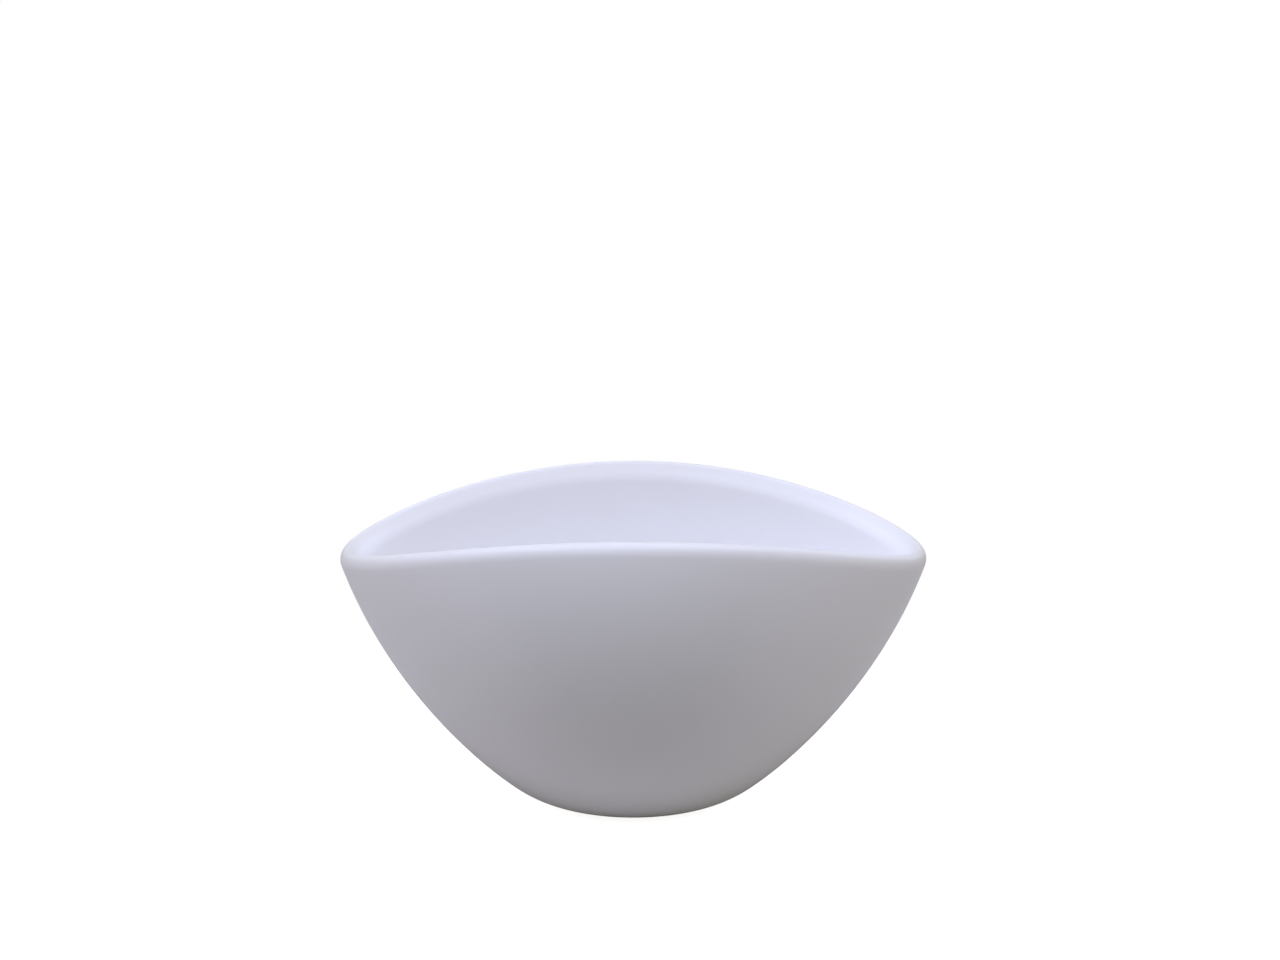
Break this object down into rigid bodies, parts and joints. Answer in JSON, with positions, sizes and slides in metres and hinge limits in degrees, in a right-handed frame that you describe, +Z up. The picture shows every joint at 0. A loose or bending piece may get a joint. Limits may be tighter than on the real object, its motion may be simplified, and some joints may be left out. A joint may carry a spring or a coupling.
{
  "type": "boat-shaped bowl",
  "caption": "Long glazed ceramic bowl with bulging sides, a thick rounded rim that dips to a point at each end, and a low round foot ring of bare clay.",
  "frame": {"origin": "middle of the round foot, on the plane that the bowl stands on", "axes": "+X along the long way of the bowl towards one tip, +Y across it, +Z up out of the mouth"},
  "size_m": [0.1986, 0.1354, 0.1032],
  "materials": {
    "white_glaze": "smooth gloss, cool white",
    "bare_clay": "unglazed, fine matt biscuit"
  },
  "bodies": {
    "root": {"bowl_body": "white_glaze", "foot_ring": "bare_clay"}
  },
  "joints": []
}
